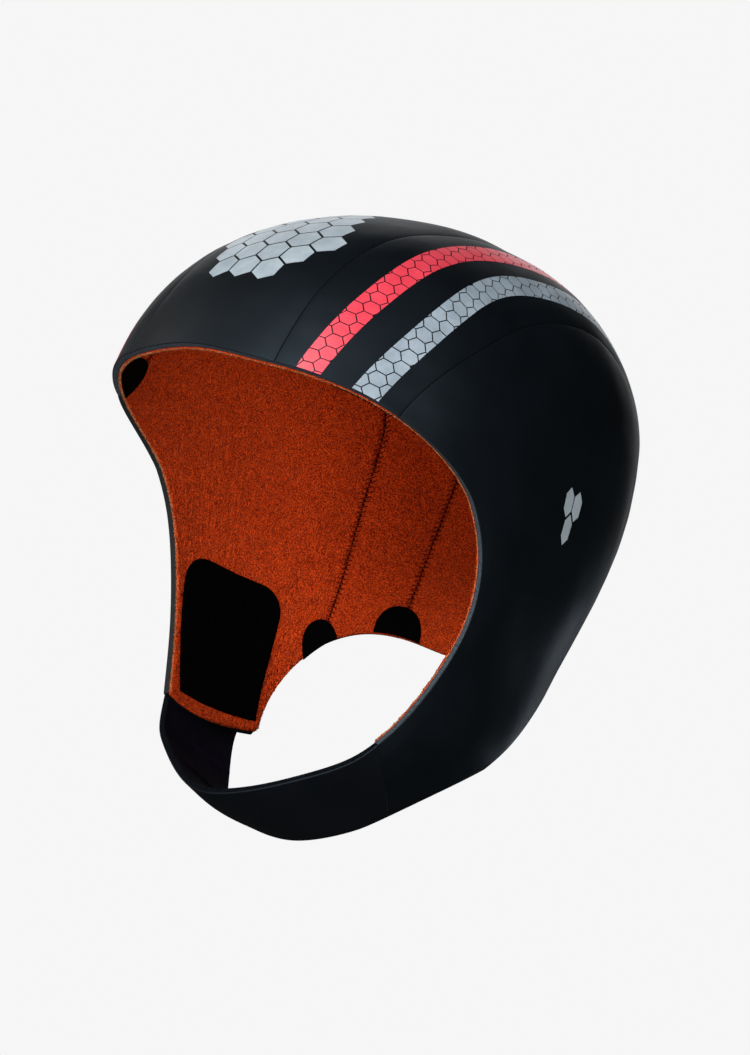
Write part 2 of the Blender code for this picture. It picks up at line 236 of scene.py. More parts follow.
def turn_and_excess(way, axis, sign, table):
    ahead, start = ring_frame(axis, sign)
    turn = np.degrees(np.arctan2(way[..., 0], way @ start))
    half = np.degrees(np.arccos(np.clip(way @ ahead, -1, 1)))
    return turn, half - mirrored(table, turn)


def seam(column, pitch, shift=0.0):
    """Directions along a seam: column 1 or 2, negative on the right side."""
    stations = [row[0] for row in SEAMS]
    side = math.copysign(1, column)
    lean = spline(stations, [row[abs(column)] for row in SEAMS], pitch)
    lean = np.radians(lean) * side + shift / HALF_WIDTH
    pitch = np.radians(pitch)
    forward = np.cos(lean) * np.cos(pitch)
    return np.stack([np.sin(lean), -forward, np.cos(lean) * np.sin(pitch)], -1)


def seam_span(column, shift=0.0):
    span = []
    for low, high, ring in ((SEAMS[0][0] - 20.0, 90.0, FACE),
                            (SEAMS[-1][0] + 20.0, 120.0, NECK)):
        for _ in range(40):
            middle = (low + high) / 2
            way = seam(column, np.array([middle]), shift)
            if turn_and_excess(way, *ring)[1][0] > 0:
                high = middle
            else:
                low = middle
        span.append((low + high) / 2)
    return span


class Patch:
    """A panel between two edges, sampled at any shares along and across.

    An edge is (seam column, shift), or (None, (roll, azimuth)) for an end line.
    """

    def __init__(self, edge_a, edge_b):
        self.edges = (edge_a, edge_b)
        self.spans = []
        self.rims = []
        for column, place in self.edges:
            if column is None:
                self.spans.append(None)
                self.rims.append(place)
            else:
                span = seam_span(column, place)
                ends = seam(column, np.array(span), place)
                self.spans.append(span)
                self.rims.append((
                    float(turn_and_excess(ends[0], *FACE)[0]),
                    float(turn_and_excess(ends[1], *NECK)[0]),
                ))

    def line(self, which, along):
        column, place = self.edges[which]
        if column is None:
            return unit(mix(face_rim(place[0]), neck_rim(place[1]), along[:, None]))
        return seam(column, mix(*self.spans[which], along), place)

    def ways(self, along, across):
        """Directions on the grid of shares along (face to neck) and across."""
        along = np.asarray(along, float)
        across = np.asarray(across, float)
        (roll_a, turn_a), (roll_b, turn_b) = self.rims
        front = face_rim(mix(roll_a, roll_b, across))
        rear = neck_rim(mix(turn_a, turn_b, across))
        first, last = self.line(0, along), self.line(1, along)
        corner = np.array([0.0, 1.0])
        ends_a, ends_b = self.line(0, corner), self.line(1, corner)
        u, v = along[:, None, None], across[None, :, None]
        blend = mix(front[None], rear[None], u) + mix(first[:, None], last[:, None], v)
        flat = mix(mix(ends_a[0], ends_b[0], v), mix(ends_a[1], ends_b[1], v), u)
        return unit(blend - flat)

    def sizes(self):
        """Lengths of the panel along and across its middle, in metres."""
        ways = self.ways(np.linspace(0, 1, 80), np.linspace(0, 1, 40))
        points = form(ways)
        along = np.linalg.norm(np.diff(points, axis=0), axis=-1).sum(0).max()
        across = np.linalg.norm(np.diff(points, axis=1), axis=-1).sum(1).max()
        return along, across


EDGE_STEPS = np.array([0.0, 0.1, 0.25, 0.45, 0.7, 1.1, 1.7, 2.5]) * MM


def graded(length, step):
    """Shares from 0 to 1, evenly spaced but close together near each end."""
    high = length - EDGE_STEPS[::-1]
    count = max(int((high[0] - EDGE_STEPS[-1]) / step), 2)
    middle = np.linspace(EDGE_STEPS[-1], high[0], count + 1)[1:-1]
    return np.concatenate([EDGE_STEPS, middle, high]) / length


def lengths_along(path):
    return np.concatenate([[0.0], np.cumsum(np.linalg.norm(np.diff(path, axis=0), axis=1))])


def edge_distances(points):
    """Distances of each grid point from the first and last row, and column."""
    found = []
    for axis in (0, 1):
        steps = np.linalg.norm(np.diff(points, axis=axis), axis=-1)
        run = np.insert(np.cumsum(steps, axis), 0, 0.0, axis)
        found += [run, run.max(axis, keepdims=True) - run]
    return found


def rounding(distance, radius):
    """How far a rounded edge falls away at a distance from the edge."""
    inside = np.clip(radius - distance, 0, radius)
    return radius - np.sqrt(np.maximum(radius ** 2 - inside ** 2, 0))


def soft_noise(points, scale, seed):
    """Smooth noise of about +-1, as a sum of waves with fixed random directions."""
    draw = np.random.default_rng(seed)
    total = np.zeros(points.shape[:-1])
    for _ in range(9):
        wave = unit(draw.normal(size=3)) * 2 * math.pi / (scale * draw.uniform(0.7, 1.5))
        total = total + np.sin(points @ wave + draw.uniform(0, 2 * math.pi))
    return total / 3


def lay_mesh(name, vertices, faces, materials, kinds=None):
    """A mesh object, in the part's frame, from points about the form's centre."""
    mesh = bpy.data.meshes.new(name)
    placed = np.asarray(vertices) - np.array([0.0, 0.0, CENTRE_DROP])
    mesh.from_pydata(placed.tolist(), [], [list(map(int, face)) for face in faces])
    for one in materials:
        mesh.materials.append(one)
    if kinds is not None:
        mesh.polygons.foreach_set("material_index", np.asarray(kinds, np.int32))
    mesh.shade_smooth()
    mesh.validate()
    thing = bpy.data.objects.new(name, mesh)
    bpy.context.scene.collection.objects.link(thing)
    return thing


def settle(thing, nodes=()):
    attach(thing, "root")
    if nodes:
        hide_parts(*nodes)


def slab(name, outer, inner, materials, wall_steps=1, walls=(0, 0, 0, 0), inside=0):
    """A closed solid between two grids of points, with walls round its border.

    walls gives the material index of the front, rear, first and last wall, and
    inside that of the inner face.
    """
    rows, columns = outer.shape[:2]
    index = np.arange(rows * columns).reshape(rows, columns)
    quads = np.stack([index[:-1, :-1], index[1:, :-1], index[1:, 1:], index[:-1, 1:]], -1)
    quads = quads.reshape(-1, 4)
    flat_outer, flat_inner = outer.reshape(-1, 3), inner.reshape(-1, 3)
    a, b, _, d = (flat_outer[quads[:, k]] for k in range(4))
    thickness = (flat_outer - flat_inner)[quads[:, 0]]
    flip = (np.cross(b - a, d - a) * thickness).sum() < 0
    if flip:
        quads = quads[:, ::-1]
    count = rows * columns
    vertices = [flat_outer, flat_inner]
    faces = [quads, quads[:, ::-1] + count]
    kinds = [np.zeros(len(quads)), np.full(len(quads), inside)]
    border = np.concatenate([index[0, :-1], index[:-1, -1], index[-1, :0:-1], index[:0:-1, 0]])
    side = np.concatenate([np.full(columns - 1, walls[0]), np.full(rows - 1, walls[3]),
                           np.full(columns - 1, walls[1]), np.full(rows - 1, walls[2])])
    total = 2 * count
    rings = [border]
    for step in range(1, wall_steps):
        vertices.append(mix(flat_outer[border], flat_inner[border], step / wall_steps))
        rings.append(np.arange(len(border)) + total)
        total += len(border)
    rings.append(border + count)
    for upper, lower in zip(rings[:-1], rings[1:]):
        ring = np.stack([upper, np.roll(upper, -1), np.roll(lower, -1), lower], -1)
        faces.append(ring[:, ::-1] if flip else ring)
        kinds.append(side)
    return lay_mesh(name, np.concatenate(vertices), np.concatenate(faces), materials,
                    np.concatenate(kinds))


# Materials

def nodes_of(name, **settings):
    """A material's parts, with the given values on the shader's own sockets."""
    made = bpy.data.materials.new(name)
    made.use_nodes = True
    shader = made.node_tree.nodes["Principled BSDF"]
    for key, value in settings.items():
        shader.inputs[key.replace("_", " ")].default_value = value
    return made, made.node_tree, shader


def linear(red, green, blue):
    """Linear RGBA of an sRGB colour given as 0 to 255."""
    out = []
    for value in (red, green, blue):
        share = value / 255
        out.append(share / 12.92 if share <= 0.04045 else ((share + 0.055) / 1.055) ** 2.4)
    return (*out, 1.0)


def add(tree, kind, **values):
    node = tree.nodes.new(kind)
    for key, value in values.items():
        if key in node.inputs:
            node.inputs[key].default_value = value
        else:
            setattr(node, key, value)
    return node


def noise_of(tree, scale, detail, roughness):
    """The value of a noise laid in the piece's own metres."""
    place = add(tree, "ShaderNodeTexCoord")
    noise = add(tree, "ShaderNodeTexNoise", Scale=scale, Detail=detail, Roughness=roughness)
    tree.links.new(place.outputs["Object"], noise.inputs["Vector"])
    return noise.outputs["Fac"]


def paint(tree, shader, source, low, high, at):
    """Colours the surface from low to high between two values of the source."""
    ramp = add(tree, "ShaderNodeValToRGB")
    first, last = ramp.color_ramp.elements
    first.position, last.position = at
    first.color, last.color = low, high
    tree.links.new(source, ramp.inputs["Fac"])
    tree.links.new(ramp.outputs["Color"], shader.inputs["Base Color"])


def raise_grain(tree, shader, source, strength, distance, under=None):
    bump = add(tree, "ShaderNodeBump", Strength=strength, Distance=distance)
    tree.links.new(source, bump.inputs["Height"])
    if under is not None:
        tree.links.new(under.outputs["Normal"], bump.inputs["Normal"])
    tree.links.new(bump.outputs["Normal"], shader.inputs["Normal"])
    return bump


def skin_material(name, low, high, roughness):
    """Smooth neoprene skin: fine leathery grain, faint clouding and dust."""
    made, tree, shader = nodes_of(name, Specular_IOR_Level=0.30,
                                  Specular_Tint=(0.58, 0.80, 1.0, 1.0))
    paint(tree, shader, noise_of(tree, 38.0, 5.0, 0.6), low, high, (0.3, 0.72))
    rough = add(tree, "ShaderNodeMapRange",
                **{"To Min": roughness - 0.05, "To Max": roughness + 0.07})
    tree.links.new(noise_of(tree, 60.0, 6.0, 0.65), rough.inputs["Value"])
    tree.links.new(rough.outputs["Result"], shader.inputs["Roughness"])
    fine = raise_grain(tree, shader, noise_of(tree, 2600.0, 3.0, 0.6), 0.05, 0.0002)
    raise_grain(tree, shader, noise_of(tree, 160.0, 3.0, 0.5), 0.08, 0.001, fine)
    return made


def foam_material(name, low, high):
    """The cut edge of the foam: grey, with tiny open cells."""
    made, tree, shader = nodes_of(name, Roughness=0.85)
    cells = noise_of(tree, 1500.0, 3.0, 0.6)
    paint(tree, shader, cells, low, high, (0.35, 0.62))
    raise_grain(tree, shader, cells, 0.5, 0.0004)
    return made


def pile_material(name, low, high, sheen):
    """Brushed pile: clumps and fibre ends, with a soft sheen."""
    made, tree, shader = nodes_of(name, Roughness=0.95, Specular_IOR_Level=0.15,
                                  Sheen_Weight=sheen, Sheen_Roughness=0.6,
                                  Sheen_Tint=linear(255, 136, 66))
    clump = add(tree, "ShaderNodeMath", operation="MULTIPLY")
    both = add(tree, "ShaderNodeMath", operation="MULTIPLY_ADD")
    tree.links.new(noise_of(tree, 330.0, 2.0, 0.5), clump.inputs[0])
    tree.links.new(noise_of(tree, 1800.0, 2.0, 0.6), both.inputs[0])
    tree.links.new(clump.outputs[0], both.inputs[2])
    clump.inputs[1].default_value = CLUMP_SHARE
    both.inputs[1].default_value = 1 - CLUMP_SHARE
    paint(tree, shader, both.outputs[0], low, high, (0.39, 0.62))
    raise_grain(tree, shader, both.outputs[0], 1.0, 0.0016)
    return made


def felt_material(name, low, high, scale=1400.0):
    made, tree, shader = nodes_of(name, Roughness=0.95, Specular_IOR_Level=0.03)
    fibre = noise_of(tree, scale, 4.0, 0.7)
    paint(tree, shader, fibre, low, high, (0.4, 0.75))
    raise_grain(tree, shader, fibre, 0.7, 0.0006)
    return made


def print_material(name, low, high):
    """Screen-printed colour on the skin, a little worn and matte."""
    made, tree, shader = nodes_of(name, Roughness=0.38)
    paint(tree, shader, noise_of(tree, 90.0, 6.0, 0.7), low, high, (0.3, 0.7))
    raise_grain(tree, shader, noise_of(tree, 2600.0, 3.0, 0.6), 0.15, 0.0002)
    return made


CLUMP_SHARE = 0.13
SKIN = skin_material("skin_black", (0.0012, 0.0018, 0.0028, 1.0),
                     (0.0026, 0.0038, 0.0056, 1.0), 0.52)
STRAP_SKIN = skin_material("strap_black", (0.0018, 0.0020, 0.0030, 1.0),
                           (0.0034, 0.0037, 0.0052, 1.0), 0.56)
STRAP_EDGE = felt_material("strap_cut", linear(5, 7, 10), linear(20, 25, 32))
STRAP_BACK = felt_material("strap_back", linear(9, 8, 14), linear(27, 24, 39), 1800.0)
FOAM = foam_material("foam_cut", linear(30, 40, 48), linear(66, 80, 92))
# A darker copy of the foam's cut edge, used on the right side panel only: painted shade.
FOAM_PAINTED_SHADE = foam_material("foam_cut_painted_shade", linear(6, 7, 9), linear(20, 22, 26))
PILE = pile_material("pile_orange", linear(140, 22, 2), linear(255, 88, 23), 0.12)
# The fringe's fibre ends are coloured far paler than the pile: painted highlight of light
# through the fibres.
FRINGE_PAINTED_HIGHLIGHT = pile_material("pile_fringe_painted_highlight", linear(240, 158, 78), linear(255, 226, 178), 0.3)
FELT = felt_material("felt_black", linear(1, 1, 1), linear(8, 8, 9))
# Black loops of the pad and patch; also the black discs in the seam gaps, which are painted
# shade.
LOOPS_AND_GAP_SHADE = felt_material("loop_black_and_gap_shade", linear(0, 0, 0), linear(4, 4, 5), 900.0)
# Thread coloured a darker red than the pile it matches, so the seams read dark: painted shade.
THREAD_PAINTED_SHADE = felt_material("thread_painted_shade", linear(92, 16, 6), linear(156, 42, 20), 3000.0)
RED = print_material("print_red", linear(224, 58, 76), linear(242, 78, 98))
GREY = print_material("print_grey", linear(130, 146, 160), linear(166, 182, 196))
PALE = print_material("print_pale", linear(154, 170, 182), linear(188, 203, 213))


# Panels and lining

def side_edges(side):
    end = STRAP_JOINT if side > 0 else (-FLAP_END[0], -FLAP_END[1])
    return (2 * side, side * SEAM_GAP / 2), (None, end)


def layout():
    """Each panel's name stem, its patch and which of its four sides are seams."""
    yield "crown", Patch((-1, PANEL_INSET), (1, -PANEL_INSET)), (False, False, True, True)
    for side, word in ((1, "left"), (-1, "right")):
        inset = side * PANEL_INSET
        stripe = Patch((side, inset), (2 * side, -inset))
        yield "stripe_" + word, stripe, (False, False, True, True)
        (column, _), end = side_edges(side)
        yield "side_" + word, Patch((column, inset), end), (False, False, True, False)


PANEL_INSET = 0.00001
SHELL_STEP = 0.0021
EDGE_ROUND = 0.00030
SEAM_DIPS = ((0.00014, 0.0011), (0.00030, 0.0045))  # depth and reach
UNEVEN = ((0.00022, 0.045, 3), (0.00006, 0.016, 5))  # height, scale and seed
UNEVEN_FADE = 0.006


def dips(distance, rows):
    return sum(depth * np.exp(-(distance / reach) ** 2) for depth, reach in rows)


def shell_points(patch, along, across, seams):
    """Outer face of a panel: rounded edges, creased seams, slight unevenness."""
    ways = patch.ways(along, across)
    points = form(ways)
    out = normal(ways)
    distances = edge_distances(points)
    drop = np.zeros(points.shape[:2])
    for distance, is_seam in zip(distances, seams):
        drop = drop + rounding(distance, EDGE_ROUND)
        if is_seam:
            drop = drop + dips(distance, SEAM_DIPS)
    away = np.minimum.reduce(distances[:2])
    uneven = sum(height * soft_noise(points, scale, seed) for height, scale, seed in UNEVEN)
    lift = uneven * np.clip(away / UNEVEN_FADE, 0, 1) - np.minimum(drop, SHELL_WALL * 0.6)
    return ways, points + lift[..., None] * out, out


def build_shell(stem, patch, seams):
    along_size, across_size = patch.sizes()
    along, across = graded(along_size, SHELL_STEP), graded(across_size, SHELL_STEP)
    ways, outer, out = shell_points(patch, along, across, seams)
    inner = form(ways) - SHELL_WALL * out
    # The right side panel's cut edge takes the darker foam copy, as painted shade.
    cut = FOAM_PAINTED_SHADE if stem == "side_right" else FOAM
    thing = slab(stem + "_shell", outer, inner, [SKIN, cut], 4, (1, 1, 0, 0))
    settle(thing, [stem + "_panel"])


PILE_STEP = 0.0012
PILE_ROUND = 0.0006
PILE_DIPS = ((0.00055, 0.0014),)
PILE_DEPTH = SHELL_WALL + 0.00008
PILE_WALL = LINING_WALL + 0.00025
PILE_LIMITS = (0.00015, 0.0019)
TUFT = 0.00010
JITTER = 0.00012
# How far the pile goes past the face rim, the neck rim and the sides' ends.
FACE_BEYOND = 0.0004
FACE_BEYOND_LEFT = -0.0005
NECK_BEYOND = 0.0011
END_BEYOND = {"side_left": 0.0, "side_right": 0.0014}


def build_pile(stem, patch, seams, seed):
    """The pile lining: a tufted layer that bulges a little past the cut edge."""
    along_size, across_size = patch.sizes()
    front = (FACE_BEYOND_LEFT if stem == "side_left" else FACE_BEYOND) / along_size
    along = mix(-front, 1 + NECK_BEYOND / along_size, graded(along_size, PILE_STEP))
    inset = 2 * PANEL_INSET / across_size
    end = 1 - inset if seams[3] else 1 + END_BEYOND[stem] / across_size
    ways = patch.ways(along, mix(inset, end, graded(across_size, PILE_STEP)))
    points = form(ways)
    out = normal(ways)
    distances = edge_distances(points)
    draw = np.random.default_rng(seed)
    tuft = draw.normal(0.0, TUFT, points.shape[:2])
    drop = sum(rounding(distance, PILE_ROUND) for distance in distances)
    for distance, is_seam in zip(distances, seams):
        if is_seam:
            drop = drop + dips(distance, PILE_DIPS)
    sink = np.clip(PILE_WALL + tuft - drop, *PILE_LIMITS)
    jitter = draw.normal(0.0, JITTER, points.shape)
    face = points - (PILE_DEPTH + sink)[..., None] * out + jitter
    thing = slab(stem + "_pile", points - PILE_DEPTH * out, face, [PILE])
    settle(thing, [stem + "_lining"])


def fibres(roots, leans, lengths):
    """Tapered fibre ends: small closed three-sided spikes."""
    draw = np.random.default_rng(11)
    count = len(roots)
    aside = unit(np.cross(leans, unit(draw.normal(size=(count, 3)))))
    other = np.cross(unit(leans), aside)
    corners = []
    for angle in np.arange(3) * 2 * math.pi / 3:
        around = math.cos(angle) * aside + math.sin(angle) * other
        corners.append(roots + FRINGE_RADIUS * around)
    tips = roots + leans * lengths[:, None]
    vertices = np.stack(corners + [tips], 1).reshape(-1, 3)
    base = np.arange(count)[:, None] * 4
    faces = np.concatenate([base + np.array(face) for face in
                            ((0, 1, 3), (1, 2, 3), (2, 0, 3), (0, 2, 1))])
    settle(lay_mesh("rim_fringe", vertices, faces, [FRINGE_PAINTED_HIGHLIGHT]))


FRINGE_PITCH = 0.00010
FRINGE_RADIUS = 0.08 * MM
FRINGE_LENGTHS = (0.25, 0.80)
FRINGE_THIN = 0.55  # share of length and depth on the left side
FRINGE_PROUD = 0.15 * MM


def build_fringe(patches):
    """Fibre ends that stand past the cut edges along the face and neck rims, coloured pale as
    a painted highlight.
    """
    draw = np.random.default_rng(23)
    roots, leans, lengths = [], [], []
    for stem, patch, seams in patches:
        along_size, across_size = patch.sizes()
        thin = FRINGE_THIN if stem == "side_left" else 1.0
        step = 0.4 * MM / along_size
        count = int(across_size / FRINGE_PITCH)
        for row, ahead in ((0.0, -1.0), (1.0, 1.0)):
            across = np.sort(draw.uniform(0.0, 1.0, count))
            ways = patch.ways(np.array([row, row - ahead * step]), across)
            edge, inner = form(ways)
            out = normal(ways[0])
            away = unit(edge - inner)
            depth = SHELL_WALL + thin * draw.uniform(0.1, LINING_WALL / MM, count) * MM
            lean = away * draw.uniform(0.5, 1.2, (count, 1))
            lean = lean - out * draw.uniform(-0.1, 0.7, (count, 1))
            roots.append(edge - depth[:, None] * out + away * FRINGE_PROUD)
            leans.append(unit(lean + draw.normal(0, 0.35, (count, 3))))
            lengths.append(thin * draw.uniform(*FRINGE_LENGTHS, count) * MM)
    fibres(np.concatenate(roots), np.concatenate(leans), np.concatenate(lengths))


TUBE_GUIDE = np.array([0.31, 0.52, 0.79])


def tubes(paths, radius, sides):
    """Vertices and faces of closed tubes along paths of equally many points."""
    ahead = unit(np.gradient(paths, axis=1))
    aside = unit(np.cross(ahead, TUBE_GUIDE))
    other = np.cross(ahead, aside)
    angles = (np.arange(sides) * 2 * math.pi / sides)[:, None]
    rings = paths[:, :, None] + radius * (np.cos(angles) * aside[:, :, None]
                                          + np.sin(angles) * other[:, :, None])
    last = (paths.shape[1] - 1) * sides
    one = []
    for i in range(0, last, sides):
        for k in range(sides):
            n = (k + 1) % sides
            one.append((i + k, i + n, i + sides + n, i + sides + k))
    one.append(tuple(range(sides - 1, -1, -1)))
    one.append(tuple(last + k for k in range(sides)))
    faces = [tuple(k + number * (last + sides) for k in face)
             for number in range(len(paths)) for face in one]
    return rings.reshape(-1, 3), faces


PILE_FACE = SHELL_WALL + LINING_WALL + 0.0003
STITCH_LIFT = 0.00002
STITCH_PITCH = 2.0 * MM
STITCH_REACH = 1.75 * MM
STITCH_SLANT = 0.8 * MM
STITCH_START = 0.002
THREAD_RADIUS = 0.00026
# Sizes of the black discs in the seam gaps, painted shade in the holes between stitches.
GAP_SIZE = (0.00052, 0.00042)  # half length and half width
GAP_FALL = 0.0003
GAP_CAPS = np.array([0.00003, -0.0006])


def build_stitches():
    """Ladder stitches over each seam of the lining, in thread darkened as painted shade, with
    black discs between them as painted shade in the gaps.
    """
    draw = np.random.default_rng(31)
    share = np.array([-1.0, -0.8, -0.3, 0.3, 0.8, 1.0])
    turn = np.arange(8) * 2 * math.pi / 8
    fan = [face for k in range(8) for face in ((k, (k + 1) % 8, 8), ((k + 1) % 8, k, 9))]
    for side, word in ((1, "left"), (-1, "right")):
        for column, row in ((1, "inner"), (2, "outer")):
            pitches = np.linspace(*seam_span(column * side), 400)
            run = lengths_along(form(seam(column * side, pitches)))
            count = int((run[-1] - 2 * STITCH_START) / STITCH_PITCH)
            at = np.arange(count) + draw.uniform(-0.06, 0.06, count)
            at = STITCH_START + at[:, None] * STITCH_PITCH
            reach = STITCH_REACH * draw.uniform(0.85, 1.1, (count, 1))

            def lay(along, aside, depth):
                way = seam(column * side, np.interp(along, run, pitches), aside)
                return form(way) - np.asarray(depth)[..., None] * normal(way)

            paths = lay(at + share * STITCH_SLANT * side, share * reach,
                        PILE_FACE + STITCH_LIFT * (1 - 3 * share ** 8))
            vertices, faces = tubes(paths, THREAD_RADIUS, 5)
            size = draw.uniform(0.8, 1.15, (count, 1))
            between = at + STITCH_PITCH / 2
            # Black discs in the seam gaps between stitches: painted shade.
            ring = lay(between + GAP_SIZE[0] * size * np.sin(turn),
                       GAP_SIZE[1] * size * np.cos(turn), PILE_FACE - GAP_FALL)
            caps = lay(np.repeat(between, 2, 1), np.zeros((count, 2)), PILE_FACE + GAP_CAPS)
            dots = np.concatenate([ring, caps], 1).reshape(-1, 3)
            dot_faces = (np.array(fan) + 10 * np.arange(count)[:, None, None]).reshape(-1, 3)
            stem = "%s_%s" % (row, word)
            # The thread pieces carry the darkened thread colour, painted shade.
            settle(lay_mesh("stitch_" + stem, vertices, faces, [THREAD_PAINTED_SHADE]))
            settle(lay_mesh("stitch_gap_painted_shade_" + stem, dots, dot_faces, [LOOPS_AND_GAP_SHADE]))


# Printed bands

def hexagon(cx, cy, radius):
    angles = np.radians(np.arange(6) * 60.0)
    return np.stack([cx + radius * np.cos(angles), cy + radius * np.sin(angles)], -1)


def clipped(polygon, low, high, axis):
    """The polygon cut to low and high along one axis."""
    for sign, limit in ((1, low), (-1, -high)):
        kept = []
        for i in range(len(polygon)):
            here, after = polygon[i], polygon[(i + 1) % len(polygon)]
            a, b = sign * here[axis] - limit, sign * after[axis] - limit
            if a >= 0:
                kept.append(here)
            if (a >= 0) != (b >= 0):
                kept.append(here + (after - here) * (a / (a - b)))
        polygon = kept
    return polygon if len(polygon) > 2 else []


HEX_LINE = 0.21 * MM
LATTICE = np.array([[5.05, -1.20], [2.90, 4.60]]) * MM
RED_START = np.array([18.5, -0.3]) * MM
GREY_START = np.array([12.0, -1.5]) * MM
TILE_LEAST = 0.25 * MM
LONG_SIDE = 1.5 * MM
PRINT_RISE = 0.00006
PRINT_SINK = 0.0001


def honeycomb_cell(first, second, line):
    """One cell of the honeycomb whose neighbours lie at the two steps."""
    corners = [(first + second) / 3, (2 * second - first) / 3, (second - 2 * first) / 3]
    corners = np.array(corners + [-corner for corner in corners])
    reach = np.linalg.norm(corners, axis=1)[:, None]
    return corners * (1 - line / (reach * math.cos(math.pi / 6)))


def densified(outline, longest, parts):
    """Splits each side over the given length, so that tiles bend with the form."""
    points = []
    for here, after in zip(outline, np.roll(outline, -1, axis=0)):
        count = parts if np.linalg.norm(after - here) > longest else 1
        points += [mix(here, after, k / count) for k in range(count)]
    return np.array(points)


def hex_tiles(length, start):
    """Honeycomb cells with a thin gap between them, cut to a band."""
    first, second = LATTICE
    cell = honeycomb_cell(first, second, HEX_LINE)
    low, high = -BAND_WIDTH / 2, BAND_WIDTH / 2
    tiles = []
    for i in range(-12, int(length / first[0]) + 30):
        for j in range(-40, 41):
            outline = cell + (start + i * first + j * second)
            if outline[:, 1].max() < low or outline[:, 1].min() > high:
                continue
            outline = clipped(clipped(outline, low, high, 1), 0.0, length, 0)
            if len(outline) and np.ptp(outline, axis=0).min() >= TILE_LEAST:
                tiles.append(densified(outline, LONG_SIDE, 2))
    return tiles


def lay_tiles(name, tiles, place, material):
    """Lays flat tiles on the form: place maps (n, 2) plane points to directions."""
    vertices, faces = [], []
    total = 0
    for outline in tiles:
        count = len(outline)
        centre = outline.mean(0)
        plane = np.concatenate([outline, mix(centre, outline, 0.55), centre[None]])
        points, out = place(plane)
        foot = points[:count] - PRINT_SINK * out[:count]
        vertices += [points + PRINT_RISE * out, foot]
        top = total + 2 * count
        for i in range(count):
            n = (i + 1) % count
            faces.append((total + i, total + n, total + count + n, total + count + i))
            faces.append((total + count + i, total + count + n, top))
            faces.append((total + n, total + i, top + 1 + i, top + 1 + n))
        faces.append(tuple(range(top + count, top, -1)))
        total = top + 1 + count
    thing = lay_mesh(name, np.concatenate(vertices), faces, [material])
    thing.data.shade_flat()
    settle(thing)


class Surface:
    """A panel's finished outer face, read at any share along and across."""

    def __init__(self, patch, seams):
        self.patch = patch
        self.along_size, self.across_size = patch.sizes()
        self.along = graded(self.along_size, SHELL_STEP)
        self.across = graded(self.across_size, SHELL_STEP)
        _, self.points, self.out = shell_points(patch, self.along, self.across, seams)

    def at(self, along, across):
        u = np.interp(along, self.along, np.arange(len(self.along)))
        v = np.interp(across, self.across, np.arange(len(self.across)))
        i = np.clip(u.astype(int), 0, len(self.along) - 2)
        j = np.clip(v.astype(int), 0, len(self.across) - 2)
        a, b = (u - i)[:, None], (v - j)[:, None]
        found = []
        for grid in (self.points, self.out):
            low = mix(grid[i, j], grid[i, j + 1], b)
            high = mix(grid[i + 1, j], grid[i + 1, j + 1], b)
            found.append(mix(low, high, a))
        return found[0], unit(found[1])


def build_band(name, surface, middle, slip, material, start):
    """A honeycomb band along a stripe panel, from the brow to the nape."""
    along = np.linspace(0.0, 1.0, 300)
    smooth = spline(*zip(*middle), along) + slip * np.exp(-along / SLIP_FADE)
    run = lengths_along(surface.at(along, smooth)[0])
    grid, _ = surface.at(np.repeat(along, 21), np.tile(np.linspace(0, 1, 21), len(along)))
    grid = grid.reshape(len(along), 21, 3)
    width = np.linalg.norm(np.diff(grid, axis=1), axis=-1).sum(1)

    def place(plane):
        u = np.interp(plane[:, 0] + BAND_INSET, run, along)
        v = np.interp(u, along, smooth) + plane[:, 1] / np.interp(u, along, width)
        return surface.at(u, v)

    lay_tiles(name, hex_tiles(run[-1] - 2 * BAND_INSET, start), place, material)


CLUSTER_GAP = 0.55 * MM


def build_cluster(name, surface, spot, cells, radius, lean):
    """A loose cluster of hexagons on a panel, round a spot."""
    turn = math.radians(lean)
    spin = np.array([[math.cos(turn), math.sin(turn)], [-math.sin(turn), math.cos(turn)]])
    tiles = []
    for column, row in cells:
        cx = column * 1.5 * radius
        cy = (row + 0.5 * (column % 2)) * math.sqrt(3) * radius
        tiles.append(densified(hexagon(cx, cy, radius - CLUSTER_GAP), 0.0, 4))

    def place(plane):
        plane = plane @ spin
        return surface.at(spot[0] + plane[:, 0] / surface.along_size,
                          spot[1] + plane[:, 1] / surface.across_size)

    lay_tiles(name, tiles, place, PALE)


# Strap, pad, patch and tabs

class Flap:
    """The lower end of the right side panel, addressed by lengths on it."""

    def __init__(self):
        patch = Patch(*side_edges(-1))
        self.ways = patch.ways(np.linspace(0, 1, 25), np.linspace(0, 1, 49))
        middle = form(self.ways[12])
        self.rises = lengths_along(middle[::-1])

    def row(self, rise):
        columns = self.ways.shape[1]
        place = float(np.interp(rise, self.rises, np.arange(columns)))
        if rise < 0:
            place = rise / self.rises[1]
        whole = min(max(int(place), 0), columns - 2)
        lower = self.ways[:, columns - 1 - whole]
        upper = self.ways[:, columns - 2 - whole]
        return unit(mix(lower, upper, place - whole))

    def across(self, rise, lengths, lift):
        row = self.row(rise)
        run = lengths_along(form(row))
        at = np.interp(lengths, run, np.arange(len(run)))
        whole = np.minimum(at.astype(int), len(run) - 2)
        ways = unit(mix(row[whole], row[whole + 1], (at - whole)[:, None]))
        return form(ways) + lift * normal(ways)

    def spot(self, rise, length):
        point = self.across(rise, np.array([length]), 0.0)[0]
        row = self.row(rise)
        return row[np.argmin(np.linalg.norm(form(row) - point, axis=1))]

    def width(self, rise):
        return lengths_along(form(self.row(rise)))[-1]


